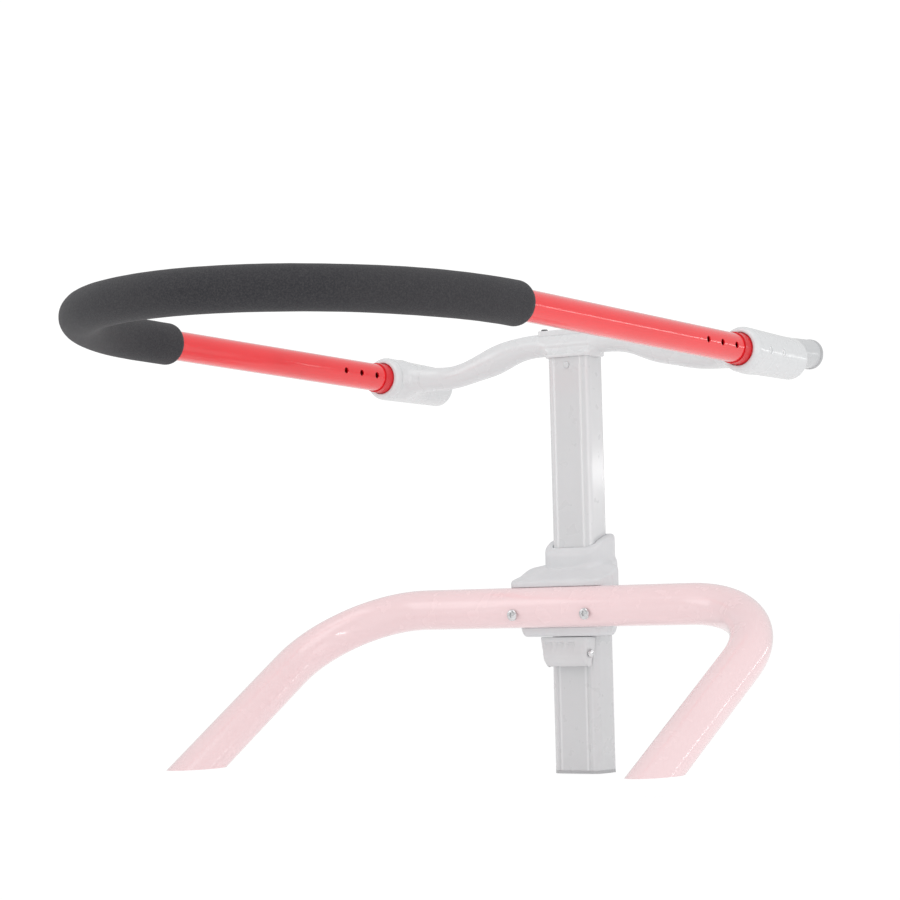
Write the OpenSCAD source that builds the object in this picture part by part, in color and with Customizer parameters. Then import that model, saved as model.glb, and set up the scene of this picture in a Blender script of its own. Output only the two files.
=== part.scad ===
// Upper part of a height-adjustable mast with a padded loop bar.
// X is lateral (+X right), -Y is forward (the loop side), +Z is up.
// The origin is the centre of the mast foot's bottom face. Millimetres.

/* [Outer column] */
// Width of the outer column, side to side
outer_width = 55; // [54:0.5:56]
// Depth of the outer column, front to back
outer_depth = 37; // [36.5:0.5:38]
// Corner radius of the outer column
outer_radius = 9; // [7:0.5:10]
// Wall of the outer column
outer_wall = 2.5; // [2.4:0.1:2.5]
// Height of the top of the outer column
outer_top = 206; // [204:1:206]

/* [Inner column] */
// Width of the inner column, side to side
inner_width = 48.3; // [48:0.1:48.4]
// Depth of the inner column, front to back
inner_depth = 30.2; // [30:0.1:30.3]
// Corner radius of the inner column
inner_radius = 6; // [5:0.5:7]
// Wall of the inner column
inner_wall = 2; // [1.5:0.1:2.5]
// Height of the lower end of the inner column at rest
inner_bottom = 112; // [105:1:120]
// Height of the upper end of the inner column at rest
inner_top = 414; // [405:1:414]

/* [Loop bar] */
// Outside diameter of the loop tube
loop_od = 28; // [27.9:0.1:28]
// Wall of the loop tube
loop_wall = 1.5; // [1:0.1:2]
// Distance from the middle plane to each arm's axis
arm_x = 214.7; // [212:0.1:218]
// Y of the sleeve mouths
arm_y = -34.9; // [-40:0.1:-30]
// Height of the arm axis at the sleeve mouths
arm_z = 405; // [400:1:408]
// Rise of the loop towards the front, in degrees
arm_tilt = 3; // [2:0.5:4]
// Straight length of each arm in front of the sleeve mouth
arm_length = 364; // [364:1:420]
// Length of each arm inside its sleeve
arm_inside = 58; // [52:1:58]
// Pitch of the adjustment holes
hole_pitch = 25; // [25:1:25]
// Diameter of the adjustment holes
hole_diameter = 6; // [4:0.5:6.5]
// Outside diameter of the foam sleeve
foam_od = 40; // [34:1:44]
// Start of the foam on the right arm, from the sleeve mouth
foam_right = 362; // [250:1:362]
// Start of the foam on the left arm, from the sleeve mouth
foam_left = 328; // [250:1:362]

/* [Sleeves] */
// Outside radius of a sleeve at its mouth
sleeve_mouth_radius = 21.9; // [21:0.1:23]
// Outside radius of a sleeve at its back
sleeve_back_radius = 19.6; // [18.5:0.1:20]
// Length of a sleeve
sleeve_length = 90; // [90:1:96]
// Radius of the stub behind the right sleeve
stub_radius = 14.35; // [13:0.05:15]
// Height of the stub's axis
stub_z = 407; // [405:1:408]
// Y of the stub's end face
stub_end = 99; // [96:1:104]

/* [Crossbar] */
// Outside diameter of the crossbar
bar_od = 23; // [22:0.5:23]
// Wall of the crossbar
bar_wall = 2; // [1.5:0.1:3]
// Height of the crossbar's axis at its middle
bar_z = 428.4; // [428.4:0.1:429]
// Half length of the crossbar's level middle
bar_mid = 42; // [38:1:46]
// Radius of the crossbar's bends, at the axis
bar_bend = 130; // [120:5:140]
// Length of the crossbar's sloping parts
bar_slope = 53; // [50:0.5:56]

/* [Frame tube] */
// Outside diameter of the frame tube
yoke_od = 40; // [39:0.5:40]
// Wall of the frame tube
yoke_wall = 1.8; // [1.5:0.1:3]
// Y of the frame tube's cross part
yoke_y = -46.6; // [-47:0.1:-46]
// Height of the frame tube's cross part
yoke_z = 165; // [165:1:165]
// Half length of the straight cross part
yoke_half = 158.5; // [140:0.5:170]
// Bend radius at the tube axis
yoke_bend = 105.9; // [90:0.1:120]
// Slope of the legs below the horizontal, in degrees
yoke_slope = 32.08; // [28:0.01:36]
// Height at which the legs are cut level
leg_cut = 17; // [5:1:40]
// Half the distance between the clamp screws
screw_half_pitch = 43; // [42:1:43]
// Offset of the pair of clamp screws to the right
screw_mid = 6; // [5:1:6]

/* [Hidden] */
$fn = 64;
fit = 0.05;              // gap between mating faces
outer_size = [outer_width, outer_depth];
outer_front = -outer_depth / 2;
outer_bore = outer_size - 2 * outer_wall * [1, 1];
outer_bore_radius = outer_radius - outer_wall;
inner_size = [inner_width, inner_depth];
loop_radius = loop_od / 2;
bar_radius = bar_od / 2;
yoke_radius = yoke_od / 2;

// ---- shared shapes ----
// rounded rectangle, enlarged by gap on every side
module rounded_rect(size, radius, gap = 0) {
    full = size + 2 * gap * [1, 1];
    corner = radius + gap;
    square([full.x - 2 * corner, full.y], center = true);
    square([full.x, full.y - 2 * corner], center = true);
    for (sx = [-1, 1], sy = [-1, 1])
        translate([sx * (full.x / 2 - corner), sy * (full.y / 2 - corner)]) circle(corner);
}
// column section with two shallow flutes along each of the front and back faces
module fluted_rect(size, radius, flute_x, flute_radius) difference() {
    rounded_rect(size, radius);
    for (sx = [-1, 1], sy = [-1, 1])
        translate([sx * flute_x, sy * (size.y + flute_radius) / 2]) circle(flute_radius);
}
// prism of a side profile given as [y, z] points
module side_prism(width, points)
    rotate([90, 0, 90]) linear_extrude(width, center = true) polygon(points);
module cylinder_x(radius, from, to)
    translate([from, 0, 0]) rotate([0, 90, 0]) cylinder(h = to - from, r = radius);
module cylinder_y(radius, from, to)
    translate([0, from, 0]) rotate([-90, 0, 0]) cylinder(h = to - from, r = radius);
module cone_y(front_radius, back_radius, from, to)
    translate([0, from, 0]) rotate([-90, 0, 0])
        cylinder(h = to - from, r1 = front_radius, r2 = back_radius);
// solid turned about Z from [radius, height] points
module turned(points) rotate_extrude() polygon(points);
// plane of the loop, tilted about X: origin between the sleeve mouths, +Y backwards
module at_loop() translate([0, arm_y, arm_z]) rotate([-arm_tilt, 0, 0]) children();
// axis of one arm in that plane: side is 1 for the right arm, -1 for the left
module at_arm(side) at_loop() translate([side * arm_x, 0, 0]) children();

// ---- outer column and its fittings ----
plug_plate = 3;          // thickness of the end plug under the column
bush_length = 30;
flange_height = 4;
shoe_width = 14;
shoe_height = 10;
shoe_z = 128;
window_gap = 0.4;        // play of the brake shoe in its windows

// window for the brake shoe, depth long in Y
module shoe_window(y, depth) translate([0, y, shoe_z])
    cube([shoe_width + window_gap, depth, shoe_height + window_gap], center = true);
module latch_fixing_holes(from, to)
    for (side = [-1, 1]) translate([side * 14, 0, 112]) cylinder_y(2, from, to);

module outer_column() color("Gainsboro") difference() {
    translate([0, 0, plug_plate]) linear_extrude(outer_top - plug_plate) difference() {
        fluted_rect(outer_size, outer_radius, flute_x = 17.5, flute_radius = 1.1);
        rounded_rect(outer_size, outer_radius, -outer_wall);
    }
    shoe_window(outer_front, 8);
    latch_fixing_holes(outer_front - 1, outer_front + 4);
}
module column_end_plug() color("DimGray") {
    linear_extrude(plug_plate) rounded_rect(outer_size, outer_radius);
    // hollow spigot inside the column
    translate([0, 0, plug_plate]) linear_extrude(15) difference() {
        rounded_rect(outer_bore - [0.2, 0.2], outer_bore_radius);
        rounded_rect(outer_bore - [5, 5], outer_bore_radius - 2);
    }
}
module guide_bush() color("WhiteSmoke") {
    // thin liner between the columns, with a flange on the outer column's end
    translate([0, 0, outer_top - bush_length]) linear_extrude(bush_length) difference() {
        rounded_rect(outer_bore - [0.1, 0.1], outer_bore_radius);
        rounded_rect(inner_size, inner_radius, 0.1);
    }
    translate([0, 0, outer_top]) linear_extrude(flange_height) difference() {
        rounded_rect(outer_size - [0.4, 0.4], outer_radius);
        rounded_rect(inner_size, inner_radius, 0.1);
    }
}

// ---- collar that joins the column and the frame tube ----
collar_bottom = yoke_z - yoke_radius - 9.2;
neck_z = 203;            // where the neck leaves the collar body
neck_base = neck_z - 6;  // the neck starts inside the body
clamp_z = yoke_z - 7;    // height of the clamp screws
clamp_hole_radius = 3.2;
// side profile of the body, [y, z]: its top slopes down to the front
collar_profile = [
    [23, collar_bottom], [23, neck_z - 3], [20, neck_z], [-19, neck_z], [-23, neck_z - 1.5],
    [-36, 197.5], [-45, 191.5], [-49, 187.5], [-50, 184], [-50, yoke_z], [-26, yoke_z],
    [-26, collar_bottom]];
// side profile of the neck, [y, z]: higher at the back
neck_profile = [
    [-22, neck_base], [-22, 219.5], [-18.5, 225.5], [17.5, 236.5], [22, 231.5], [22, neck_base]];

// plan view: a ring round the column, a front block, and flanks that join them
module collar_outline(half_width, front) {
    block_back = -8;
    rounded_rect([68, 46], 14);
    translate([0, (front + block_back) / 2])
        rounded_rect([2 * half_width, block_back - front], 8);
    polygon([[-half_width, -17], [-half_width + 1, -12], [-33.5, 6],
             [33.5, 6], [half_width - 1, -12], [half_width, -17]]);
}
module at_clamp_screws() for (side = [-1, 1])
    translate([screw_mid + side * screw_half_pitch, 0, clamp_z]) children();
module collar() color("LightGray") difference() {
    union() {
        intersection() {
            side_prism(120, collar_profile);
            translate([0, 0, collar_bottom]) linear_extrude(80) collar_outline(54.5, -49.6);
        }
        // lower lip
        translate([0, 0, collar_bottom]) linear_extrude(12) collar_outline(48, -44);
        // neck round the inner column
        intersection() {
            translate([0, 0, neck_base]) linear_extrude(40) rounded_rect([65, 44], 13);
            side_prism(80, neck_profile);
        }
    }
    // seat of the outer column with its bush flange, and passage of the inner column
    translate([0, 0, collar_bottom - 1])
        linear_extrude(outer_top + flange_height + 0.2 - collar_bottom + 1)
            rounded_rect(outer_size, outer_radius, 0.1);
    linear_extrude(260) rounded_rect(inner_size, inner_radius, 0.4);
    // seat of the frame tube
    translate([0, yoke_y, yoke_z]) cylinder_x(yoke_radius + 0.1, -80, 80);
    // clamp screw holes and nut pockets
    at_clamp_screws() {
        cylinder_y(clamp_hole_radius, -60, 10);
        translate([0, -21.5, 0]) rotate([-90, 30, 0]) cylinder(h = 46, r = 5.9, $fn = 6);
    }
}

// ---- frame tube ----
clamp_shank_radius = 3;

// U shape with level legs pointing forward
module yoke_solid(radius, leg) {
    cylinder_x(radius, -yoke_half, yoke_half);
    for (side = [-1, 1]) {
        translate([side * yoke_half, -yoke_bend, 0]) rotate([0, 0, side > 0 ? 0 : 90])
            rotate_extrude(angle = 90) translate([yoke_bend, 0]) circle(radius);
        translate([side * (yoke_half + yoke_bend), -yoke_bend, 0]) cylinder_y(radius, -leg, 0);
    }
}
module yoke_tube() color("LightPink") difference() {
    leg = 300;           // before the level cut
    cut = [700, 700, 400];
    translate([0, yoke_y, yoke_z]) rotate([yoke_slope, 0, 0]) difference() {
        yoke_solid(yoke_radius, leg);
        yoke_solid(yoke_radius - yoke_wall, leg + 1);
    }
    translate([0, -250, leg_cut - cut.z / 2]) cube(cut, center = true);
    at_clamp_screws() cylinder_y(clamp_hole_radius, -80, 0);
}
module yoke_screws() color("Silver") at_clamp_screws() {
    front = yoke_y - yoke_radius;
    difference() {
        union() {
            cylinder_y(clamp_shank_radius, front + 1, -16.2);
            // pan head with a low dome, seated on the tube
            translate([0, front + 0.3, 0]) rotate([90, 0, 0])
                turned([[0, -1], [3, -1], [3, 0.4], [5.6, 0.4], [5.6, 2.2], [4.9, 3.1],
                        [3.6, 3.6], [0, 3.8]]);
        }
        // cross recess
        for (angle = [0, 90]) translate([0, front - 3.2, 0]) rotate([0, angle, 0])
            cube([5, 3, 1.1], center = true);
    }
}
module yoke_nuts() color("Silver") at_clamp_screws() translate([0, -21.4, 0]) difference() {
    rotate([-90, 30, 0]) cylinder(h = 5, r = 5.75, $fn = 6);
    cylinder_y(clamp_shank_radius + fit, -1, 6);
}
module yoke_spacers() color("Gray") at_clamp_screws() difference() {
    cylinder_y(5, yoke_y - 13.3, yoke_y + 13.3);
    cylinder_y(clamp_hole_radius, yoke_y - 20, yoke_y + 20);
}

// ---- column latch ----
pivot_y = -27.7;
pivot_z = 118.6;
pivot_radius = 2.5;
lever_half = 28;         // half width of the lever
housing_width = 46;
// side profiles, [y, z]
housing_profile = [
    [outer_front - fit, 106], [outer_front - fit, 134.5], [-26, 134.5], [-26, 130],
    [-31, 122], [-31, 114], [-26, 108], [-23, 106]];
spring_profile = [
    [-26.1, 134], [-26.1, 130.1], [-28.9, 125.6], [-29.5, 126], [-26.7, 130.5], [-26.7, 134]];
// fullest near the top, falling back to the column at the bottom
lever_profile = [
    [-19.4, 134.5], [-33.2, 134.5], [-34.2, 132.8], [-33.6, 122], [-31, 113],
    [-26.5, 106.6], [-22.6, 105], [-22.2, 113], [-19.4, 119]];
// front view, [x, z]: sides drawn in towards the bottom
lever_front = [
    [-lever_half, 135], [lever_half, 135], [lever_half, 105], [-18, 105],
    [-22.5, 107.5], [-25.5, 112.5], [-lever_half, 122]];

module pivot_hole()
    translate([0, pivot_y, pivot_z]) cylinder_x(pivot_radius + fit, -30, 30);
module latch_housing() color("Silver") difference() {
    side_prism(housing_width, housing_profile);
    shoe_window(-23.3, 11);
    pivot_hole();
    latch_fixing_holes(-24, -10);
}
// leaf spring lying on the housing's sloping front
module latch_spring() color("LightSlateGray") side_prism(8, spring_profile);
module latch_pivot_pin() color("Silver") translate([0, pivot_y, pivot_z]) {
    head_x = lever_half + 0.2;
    cylinder_x(pivot_radius, -lever_half + 0.8, head_x);
    translate([head_x, 0, 0]) rotate([0, 90, 0])
        turned([[0, 0], [4, 0], [4, 0.9], [3, 1.7], [0, 2]]);
}
module latch_lever() color("Gainsboro") difference() {
    intersection() {
        side_prism(2 * lever_half, lever_profile);
        rotate([90, 0, 0]) linear_extrude(100, center = true) polygon(lever_front);
    }
    // hollow that clears the housing
    translate([0, -21.65, 119]) cube([housing_width + 0.8, 20, 60], center = true);
    // finger grooves
    for (i = [-1 : 1])
        translate([-4.6 + i * 13, -33.8, 124.4]) cube([10, 3.2, 9], center = true);
    pivot_hole();
}
module brake_shoe() color("DarkSlateGray") {
    front = outer_front - 4.2;
    back = -inner_depth / 2 - 0.2;
    translate([0, (front + back) / 2, shoe_z])
        cube([shoe_width, back - front, shoe_height], center = true);
}

// ---- inner column and saddle ----
rivet_z = 406;
plate_top = inner_top + 3;
glide_height = 10;
cap_height = 5.4;
cap_sink = 2.6;          // depth of the cap's underside below the top of the crossbar

// plug that fills the bore of the inner column
module inner_plug(bottom, height) translate([0, 0, bottom]) linear_extrude(height)
    rounded_rect(inner_size, inner_radius, -inner_wall - 0.1);
module rivet_hole() translate([0, 0, rivet_z]) cylinder_y(2.1, -30, 30);
module at_cap_screws() for (side = [-1, 1]) translate([side * 36, 0, bar_z]) children();
module cap_screw_holes() at_cap_screws() cylinder(h = 30, r = 2.1);

module inner_column() color("LightGray") difference() {
    translate([0, 0, inner_bottom]) linear_extrude(inner_top - inner_bottom) difference() {
        fluted_rect(inner_size, inner_radius, flute_x = 15.5, flute_radius = 1);
        rounded_rect(inner_size, inner_radius, -inner_wall);
    }
    rivet_hole();
}
module inner_column_glide() color("DimGray") {
    difference() {
        translate([0, 0, inner_bottom - glide_height]) linear_extrude(glide_height)
            rounded_rect(outer_bore - [0.3, 0.3], outer_bore_radius);
        // channel that passes the brake shoe
        translate([0, outer_front + 1.6, inner_bottom - glide_height / 2])
            cube([15, 4, 20], center = true);
    }
    inner_plug(inner_bottom, 12);
}
module saddle() color("LightGray") difference() {
    union() {
        inner_plug(inner_top - 22, 22);
        translate([0, 0, inner_top]) linear_extrude(plate_top - inner_top)
            rounded_rect(inner_size + [2.4, 2.4], inner_radius + 1);
        // horns that carry the crossbar
        rotate([90, 0, 0]) linear_extrude(28, center = true)
            polygon([[-25, plate_top], [25, plate_top], [29, 420], [36, 425.5],
                     [-36, 425.5], [-29, 420]]);
    }
    crossbar_solid(bar_radius + fit);
    rivet_hole();
}
module saddle_rivets() color("Silver")
    for (angle = [0, 180]) translate([0, 0, rivet_z]) rotate([0, 0, angle]) {
        cylinder_y(2, 2, inner_depth / 2 + 0.2);
        translate([0, inner_depth / 2 + 0.1, 0]) rotate([-90, 0, 0])
            turned([[0, 0], [3.4, 0], [3.1, 0.8], [2, 1.4], [0, 1.6]]);
    }
module saddle_cap() color("Silver") difference() {
    translate([0, 0, bar_z + bar_radius - cap_sink]) linear_extrude(cap_height)
        rounded_rect([80, 15], 3);
    translate([0, 0, bar_z]) cylinder_x(bar_radius + fit, -60, 60);
    cap_screw_holes();
}
module saddle_cap_screws() color("DimGray")
    at_cap_screws() translate([0, 0, bar_radius - 6]) {
        cylinder(h = 9.5, r = 2);
        translate([0, 0, 8.85]) turned([[0, 0], [3.4, 0], [3.4, 1.2], [2.8, 2], [0, 2.2]]);
    }

// ---- crossbar ----
// sine and cosine of its slope, 16.26 degrees
bar_sin = 0.28;
bar_cos = 0.96;
// run and drop of one bend
bend_run = bar_bend * bar_sin;
bend_drop = bar_bend * (1 - bar_cos);
// far end of the outer bend
bar_end_x = bar_mid + 2 * bend_run + bar_slope * bar_cos;
bar_end_z = bar_z - 2 * bend_drop - bar_slope * bar_sin;

// turn by the slope about Y
module slope_turn() multmatrix([[bar_cos, 0, bar_sin, 0], [0, 1, 0, 0],
                                [-bar_sin, 0, bar_cos, 0], [0, 0, 0, 1]]) children();
// bend that starts at the origin heading +X and turns down by the slope
module bend(radius) translate([0, 0, -bar_bend]) difference() {
    rotate([90, -90, 0]) rotate_extrude(angle = -90) translate([bar_bend, 0]) circle(radius);
    slope_turn() translate([0, -50, -300]) cube([300, 100, 600]);
}
module crossbar_solid(radius) {
    translate([0, 0, bar_z]) cylinder_x(radius, -bar_mid, bar_mid);
    for (flip = [0, 1]) mirror([flip, 0, 0]) {
        translate([bar_mid, 0, bar_z]) {
            bend(radius);
            translate([bend_run, 0, -bend_drop]) slope_turn() cylinder_x(radius, 0, bar_slope);
        }
        // the outer bend is the same, turned over and seen from its far end
        translate([bar_end_x, 0, bar_end_z]) mirror([1, 0, 0]) mirror([0, 0, 1]) bend(radius);
        translate([0, 0, bar_end_z]) cylinder_x(radius, bar_end_x, arm_x - 12);
    }
}
module crossbar() color("Gainsboro") difference() {
    crossbar_solid(bar_radius);
    crossbar_solid(bar_radius - bar_wall);
    // ends shaped to the sleeves
    for (side = [-1, 1]) at_arm(side)
        cone_y(sleeve_mouth_radius + 0.15, sleeve_back_radius + 0.15, 0, sleeve_length);
    cap_screw_holes();
}

// ---- sleeves ----
bushing_radius = 15.7;
stub_cap_length = 7;
stub_cap_y = stub_end - stub_cap_length;
sleeve_screw_y = 20;     // first screw, behind the sleeve mouth

module at_sleeve_screws()
    for (i = [0, 1]) translate([0, sleeve_screw_y + hole_pitch * i, 0]) children();
// holes through the outward wall only
module sleeve_screw_holes(side) at_sleeve_screws()
    cylinder_x(3.05, side > 0 ? 5 : -30, side > 0 ? 30 : -5);
module sleeve(side) color("WhiteSmoke") difference() {
    union() {
        at_arm(side) {
            cone_y(sleeve_mouth_radius - 4.6, sleeve_mouth_radius, -5.5, 1);
            cone_y(sleeve_mouth_radius, sleeve_back_radius, 1, sleeve_length);
        }
        // the right sleeve carries a stub
        if (side > 0) translate([arm_x, 0, stub_z]) cylinder_y(stub_radius, 40, stub_cap_y);
    }
    // blind socket for the arm's bushing
    at_arm(side) cylinder_y(bushing_radius + fit, -7, arm_inside + 28);
    // hollow of the stub
    if (side > 0) translate([arm_x, 0, stub_z]) cylinder_y(11, 70, stub_end);
    at_arm(side) sleeve_screw_holes(side);
}
module left_sleeve() sleeve(-1);
module right_sleeve() sleeve(1);
module sleeve_bushings() color("Crimson") for (side = [-1, 1]) at_arm(side) difference() {
    union() {
        cylinder_y(bushing_radius, -4.5, 56);
        // lip that stands out round the arm
        cylinder_y(15.2, -16, -4);
    }
    cylinder_y(loop_radius + fit, -17, 60);
    sleeve_screw_holes(side);
}
// headless screws with a hexagonal recess
module sleeve_screws() color("Silver") for (side = [-1, 1]) at_arm(side)
    at_sleeve_screws() mirror([side > 0 ? 0 : 1, 0, 0]) difference() {
        cylinder_x(2.98, loop_radius + 0.3, 20);
        translate([18, 0, 0]) rotate([0, 90, 0]) cylinder(h = 5, r = 1.6, $fn = 6);
    }
module stub_cap() color("Gainsboro") translate([arm_x, stub_cap_y, stub_z]) {
    rim = stub_radius + 0.4;
    rotate([-90, 0, 0])
        turned([[0, fit], [stub_radius, fit], [rim, 0.8], [rim, 4],
                [stub_radius - 2.4, stub_cap_length], [0, stub_cap_length]]);
    // spigot inside the stub
    cylinder_y(10.9, -12, 0.1);
}

// ---- loop bar ----
// half ring and two arms, which end at the given Y
module loop_solid(radius, right_end, left_end) {
    translate([0, -arm_length, 0]) rotate([0, 0, 180])
        rotate_extrude(angle = 180, $fn = 96) translate([arm_x, 0]) circle(radius);
    translate([arm_x, 0, 0]) cylinder_y(radius, -arm_length, right_end);
    translate([-arm_x, 0, 0]) cylinder_y(radius, -arm_length, left_end);
}
module loop_tube() color("Red") at_loop() difference() {
    loop_solid(loop_radius, arm_inside, arm_inside);
    loop_solid(loop_radius - loop_wall, arm_inside + 1, arm_inside + 1);
    // adjustment holes, two of them at the sleeve screws
    for (side = [-1, 1], i = [-1 : 3])
        translate([side * arm_x, sleeve_screw_y - hole_pitch * i, 0])
            cylinder_x(hole_diameter / 2, -20, 20);
}
module foam_grip() color("DimGray") at_loop() difference() {
    loop_solid(foam_od / 2, -foam_right, -foam_left);
    loop_solid(loop_radius + fit, 0, 0);
}
module loop_end_plugs() color("DimGray") for (side = [-1, 1]) at_arm(side) {
    cylinder_y(loop_radius - loop_wall - fit, arm_inside - 9, arm_inside);
    cylinder_y(loop_radius - 0.1, arm_inside, arm_inside + 2);
}

outer_column();
column_end_plug();
collar();
guide_bush();
yoke_tube();
yoke_screws();
yoke_nuts();
yoke_spacers();
latch_housing();
latch_spring();
latch_pivot_pin();
latch_lever();
brake_shoe();
inner_column();
inner_column_glide();
saddle();
saddle_rivets();
crossbar();
saddle_cap();
saddle_cap_screws();
left_sleeve();
right_sleeve();
sleeve_bushings();
sleeve_screws();
stub_cap();
loop_tube();
foam_grip();
loop_end_plugs();
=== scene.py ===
"""Looped bar with a foam grip, carried by a T-shaped column that stands in a bent frame tube.

Lengths are in millimetres unless noted: +X right, +Y back, +Z up, the floor at Z = 0.
The column stands on the Z axis. The loop reaches forwards from the sleeves at the ends of
the crossbar, and the frame tube crosses in front of the column with its legs sloping
forwards and down. Materials, lights and the camera are in metres.
"""
import math

import bmesh
import bpy
import numpy as np
from mathutils import Matrix, Vector, noise


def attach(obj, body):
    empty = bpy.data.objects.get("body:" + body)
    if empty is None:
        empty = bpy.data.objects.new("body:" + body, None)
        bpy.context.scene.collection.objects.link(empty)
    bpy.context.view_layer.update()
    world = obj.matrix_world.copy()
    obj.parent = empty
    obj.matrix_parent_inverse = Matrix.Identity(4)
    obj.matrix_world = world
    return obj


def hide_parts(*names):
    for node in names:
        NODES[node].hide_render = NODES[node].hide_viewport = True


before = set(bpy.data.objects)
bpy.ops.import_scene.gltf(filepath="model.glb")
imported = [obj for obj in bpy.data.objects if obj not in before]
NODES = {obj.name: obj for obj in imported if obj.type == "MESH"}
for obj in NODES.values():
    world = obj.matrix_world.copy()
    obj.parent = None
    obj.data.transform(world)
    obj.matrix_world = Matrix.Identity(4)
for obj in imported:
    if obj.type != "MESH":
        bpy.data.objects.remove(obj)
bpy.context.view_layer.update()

# ---------------------------------------------------------------- driving dimensions
# Loop: two arms joined by a half circle; a mouth is where an arm enters its sleeve
ARM_X, ARM_Y, ARM_Z = 214.7, -34.9, 405.0      # centre of the right mouth
LOOP_TILT = math.radians(3)                    # rise towards the front
TILT_COS, TILT_SIN = math.cos(LOOP_TILT), math.sin(LOOP_TILT)
ARM_LEN, ARM_INSERT = 364.0, 58.0              # in front of and behind the mouth
LOOP_R, LOOP_WALL = 14.0, 1.5
ARC_LEN = math.pi * ARM_X
LOOP_LEN = 2 * ARM_LEN + ARC_LEN               # from mouth to mouth
HOLE_PITCH = 25
LOOP_HOLES = [-45 + HOLE_PITCH * i for i in range(6)]   # from the mouth along each arm

# Frame tube: a straight middle, two bends and two legs in one sloping plane
YOKE_Y, YOKE_Z, YOKE_HALF, YOKE_BEND = -46.6, 165.0, 158.5, 105.9
YOKE_R, YOKE_WALL, YOKE_SLOPE = 20.0, 1.8, math.radians(32.08)
LEG_CUT_Z = 17.0

# Crossbar: level middle, bend down, straight slope, bend back to level
BAR_R, BAR_Z, BAR_MID, BAR_BEND, BAR_SLOPE = 11.5, 428.4, 42.0, 130.0, 53.0
BAR_SIN, BAR_COS = 0.28, 0.96                  # of the slope's angle
BAR_LEVEL_X = BAR_MID + 2 * BAR_BEND * BAR_SIN + BAR_SLOPE * BAR_COS
BAR_END_Z = BAR_Z - 2 * BAR_BEND * (1 - BAR_COS) - BAR_SLOPE * BAR_SIN
SEAM_X = 182.0                                 # joint between crossbar and sleeve meshes

# Stub tube behind the right sleeve
STUB_Z, STUB_R, STUB_END = 407.0, 14.35, 99.0


# ---------------------------------------------------------------- mesh helpers
def make(name, points, faces, body, replaces, material, sharp_angle=None):
    mesh = bpy.data.meshes.new(name)
    metres = np.asarray(points, float) / 1000.0
    mesh.from_pydata([tuple(p) for p in metres], [], [tuple(int(i) for i in f) for f in faces])
    mesh.validate()
    mesh.update()
    obj = bpy.data.objects.new(name, mesh)
    bpy.context.scene.collection.objects.link(obj)
    mesh.polygons.foreach_set("use_smooth", [True] * len(mesh.polygons))
    if sharp_angle is not None:
        mark_sharp(mesh, math.radians(sharp_angle))
    mesh.materials.append(material)
    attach(obj, body)
    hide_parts(*replaces)
    return obj


def mark_sharp(mesh, limit):
    """marks edges sharper than limit, so flat ends and round sides shade apart"""
    bm = bmesh.new()
    bm.from_mesh(mesh)
    for edge in bm.edges:
        if len(edge.link_faces) == 2 and edge.calc_face_angle(0.0) > limit:
            edge.smooth = False
    bm.to_mesh(mesh)
    bm.free()


def face_outwards(mesh):
    bm = bmesh.new()
    bm.from_mesh(mesh)
    bmesh.ops.recalc_face_normals(bm, faces=bm.faces)
    bm.to_mesh(mesh)
    bm.free()


def ring(centre, outward, radius, count):
    """points round a tube, from its outward direction towards its plane's normal;
    radius is one number or one per point"""
    angle = 2 * math.pi * np.arange(count) / count
    normal = np.array((0.0, 0.0, 1.0))
    return (centre + (np.cos(angle) * radius)[:, None] * outward
            + (np.sin(angle) * radius)[:, None] * normal)


def grid_faces(rings, count, closed=False, base=0, flip=False):
    """quads between rings of count points each; closed joins the last ring to the first"""
    faces = []
    for i in range(rings if closed else rings - 1):
        near, far = base + i * count, base + ((i + 1) % rings) * count
        for j in range(count):
            k = (j + 1) % count
            quad = (near + j, far + j, far + k, near + k)
            faces.append(quad[::-1] if flip else quad)
    return faces


def rim_faces(rings, count):
    """both end faces of a tube whose outer rings are followed by its inner rings"""
    faces = []
    for i in (0, rings - 1):
        outer, inner = i * count, (rings + i) * count
        for j in range(count):
            k = (j + 1) % count
            quad = (outer + j, outer + k, inner + k, inner + j)
            faces.append(quad if i == 0 else quad[::-1])
    return faces


# ---------------------------------------------------------------- signed distances
def vec(*values):
    return np.array(values, float)


def xyz(points):
    return points[..., 0], points[..., 1], points[..., 2]


def smooth_min(first, second, blend):
    """union with a fillet about blend wide"""
    share = np.clip(0.5 + 0.5 * (second - first) / blend, 0, 1)
    return second + (first - second) * share - blend * share * (1 - share)


def smooth_max(first, second, blend):
    """intersection with a rounded edge"""
    return -smooth_min(-first, -second, blend)


def cut(solid, tool, blend):
    """solid less tool, with a rounded edge"""
    return smooth_max(solid, -tool, blend)


def round_bar(points, start, end, start_r, end_r):
    """flat-ended bar, tapering from start_r to end_r"""
    length = np.linalg.norm(end - start)
    axis = (end - start) / length
    offset = points - start
    along = offset @ axis
    radial = np.sqrt(((offset - along[..., None] * axis) ** 2).sum(-1))
    taper = (end_r - start_r) / length
    side = (radial - (start_r + taper * along)) / math.sqrt(1 + taper * taper)
    return np.maximum(side, np.abs(along - length / 2) - length / 2)


def rounded_rect(x, y, half_x, half_y, corner):
    over_x, over_y = np.abs(x) - (half_x - corner), np.abs(y) - (half_y - corner)
    outside = np.sqrt(np.maximum(over_x, 0) ** 2 + np.maximum(over_y, 0) ** 2)
    return outside + np.minimum(np.maximum(over_x, over_y), 0) - corner


# ---------------------------------------------------------------- meshing a distance field
CORNERS = [(i & 1, i >> 1 & 1, i >> 2) for i in range(8)]


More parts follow.
